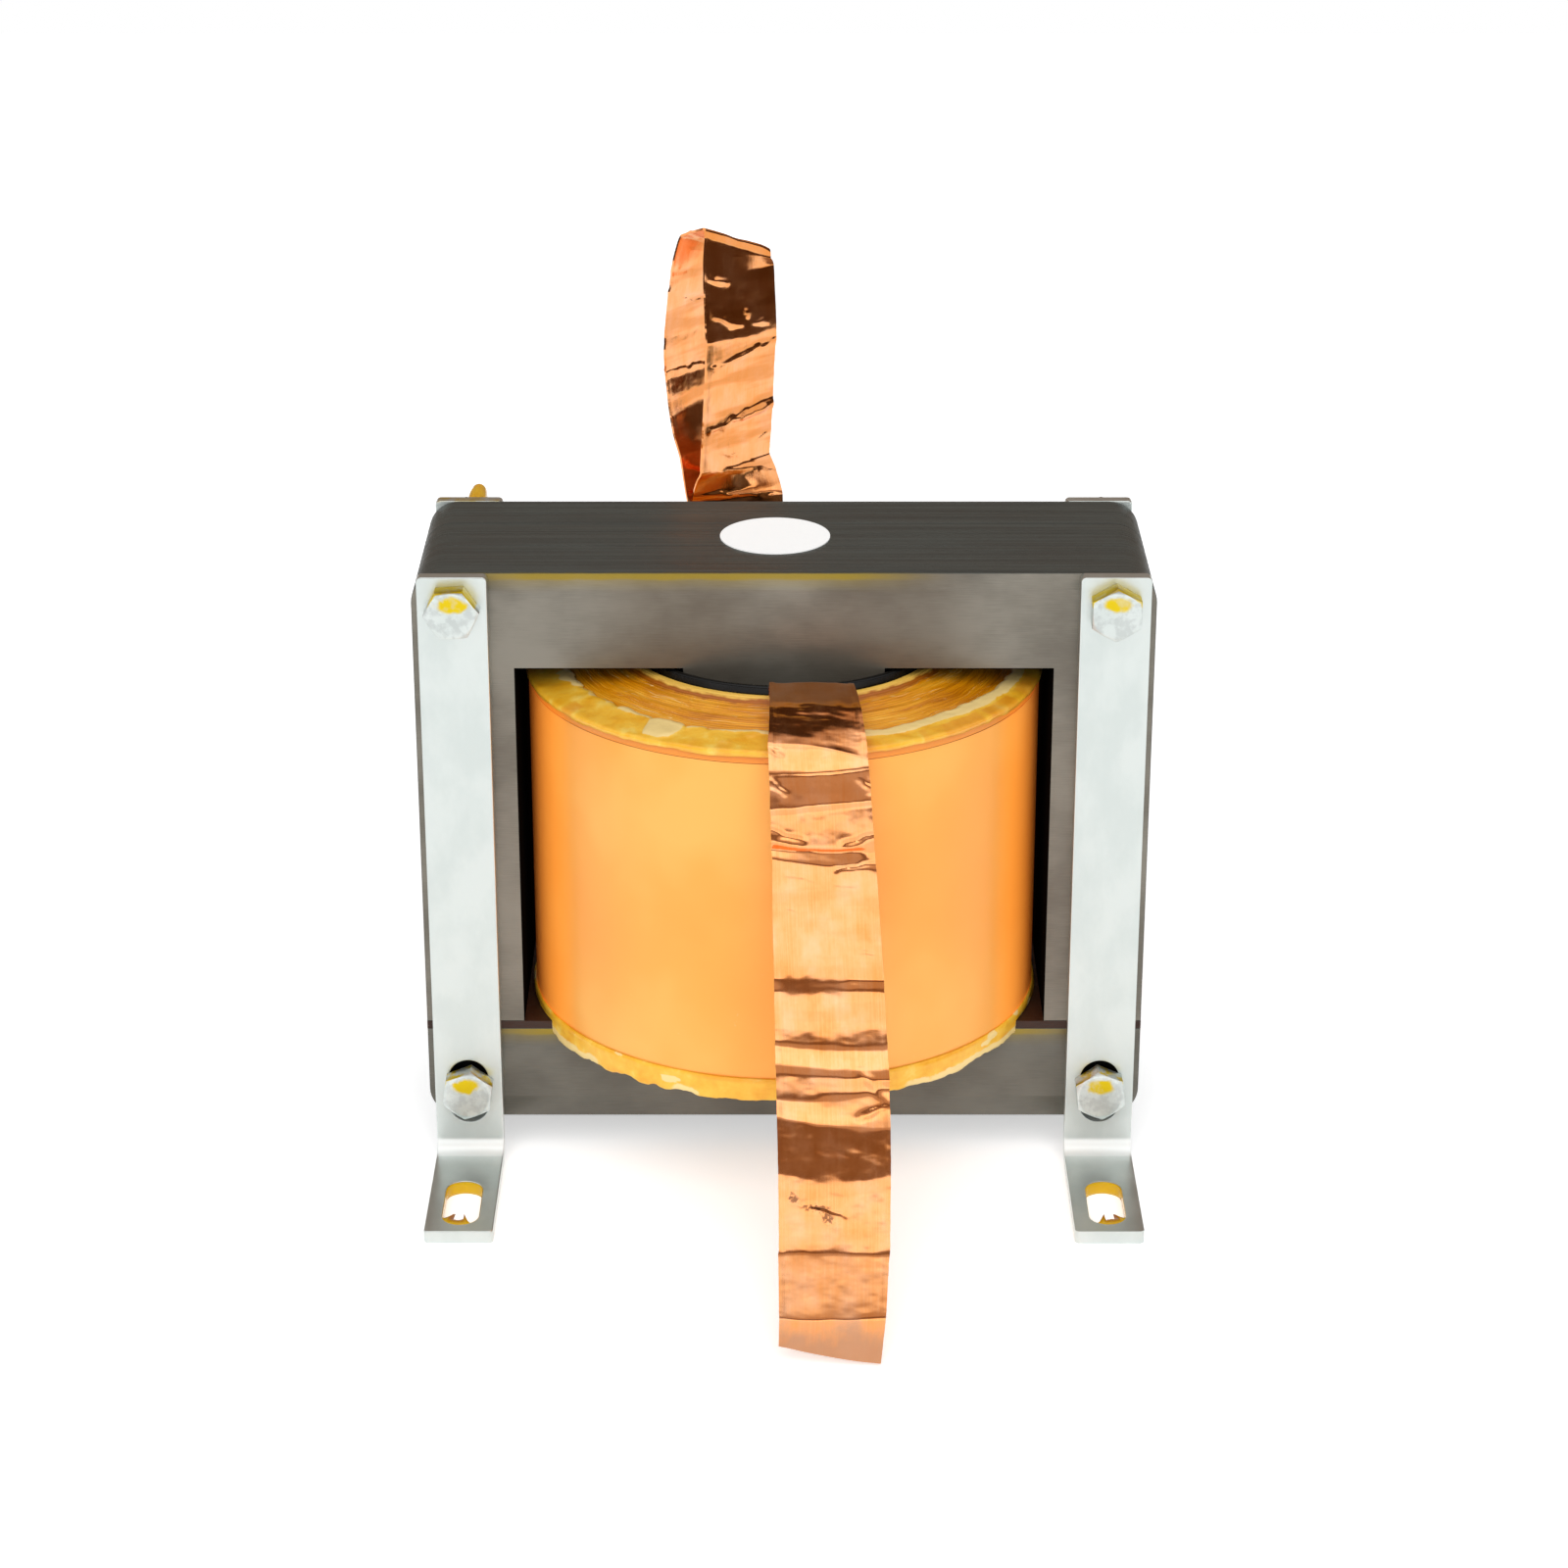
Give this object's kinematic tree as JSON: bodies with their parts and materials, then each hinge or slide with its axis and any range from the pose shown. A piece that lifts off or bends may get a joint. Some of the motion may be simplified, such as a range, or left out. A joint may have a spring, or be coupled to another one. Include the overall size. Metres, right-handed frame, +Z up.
{
  "type": "crossover inductor",
  "caption": "Foil-wound inductor on a gapped, laminated steel core, clamped between bent steel brackets with slotted feet, with foil leads at front and rear.",
  "frame": {"origin": "floor level, in the middle of the four feet", "axes": "+Z up along the core's legs, the front with the long lead towards -Y, X across the core's width"},
  "size_m": [0.106, 0.1259, 0.1305],
  "materials": {
    "e_sheets": "dark grey sheet edges under a thin clear varnish",
    "i_sheets": "dark grey sheet edges under a thin clear varnish",
    "spacer": "dark brown pressed board",
    "former": "glossy black tube",
    "winding": "amber turns of copper foil and film under varnish",
    "tape": "light orange tape, satin",
    "top_seal": "yellow resin with pale flakes",
    "bottom_seal": "yellow resin with pale flakes",
    "front_lead": "bare copper foil, glossy and creased, tinned at its tip",
    "rear_lead": "bare copper foil, glossy and creased",
    "bracket": "bright zinc plate",
    "bolt": "bright zinc plate, stained yellow by varnish",
    "nut": "bright zinc plate",
    "label": "bare white paper",
    "varnish": "hard amber varnish"
  },
  "bodies": {
    "root": {"e_stack": "e_sheets", "i_stack": "i_sheets", "gap_spacer": "spacer", "coil_former": "former", "foil_winding": "winding", "outer_tape": "tape", "top_seal": "top_seal", "bottom_seal": "bottom_seal", "front_lead": "front_lead", "rear_lead": "rear_lead", "label": "label", "varnish_drip": "varnish", "bracket_front_left": "bracket", "bracket_front_right": "bracket", "bracket_rear_left": "bracket", "bracket_rear_right": "bracket", "bolt_upper_left": "bolt", "nut_upper_left": "nut", "bolt_upper_right": "bolt", "nut_upper_right": "nut", "bolt_lower_left": "bolt", "nut_lower_left": "nut", "bolt_lower_right": "bolt", "nut_lower_right": "nut"}
  },
  "joints": []
}
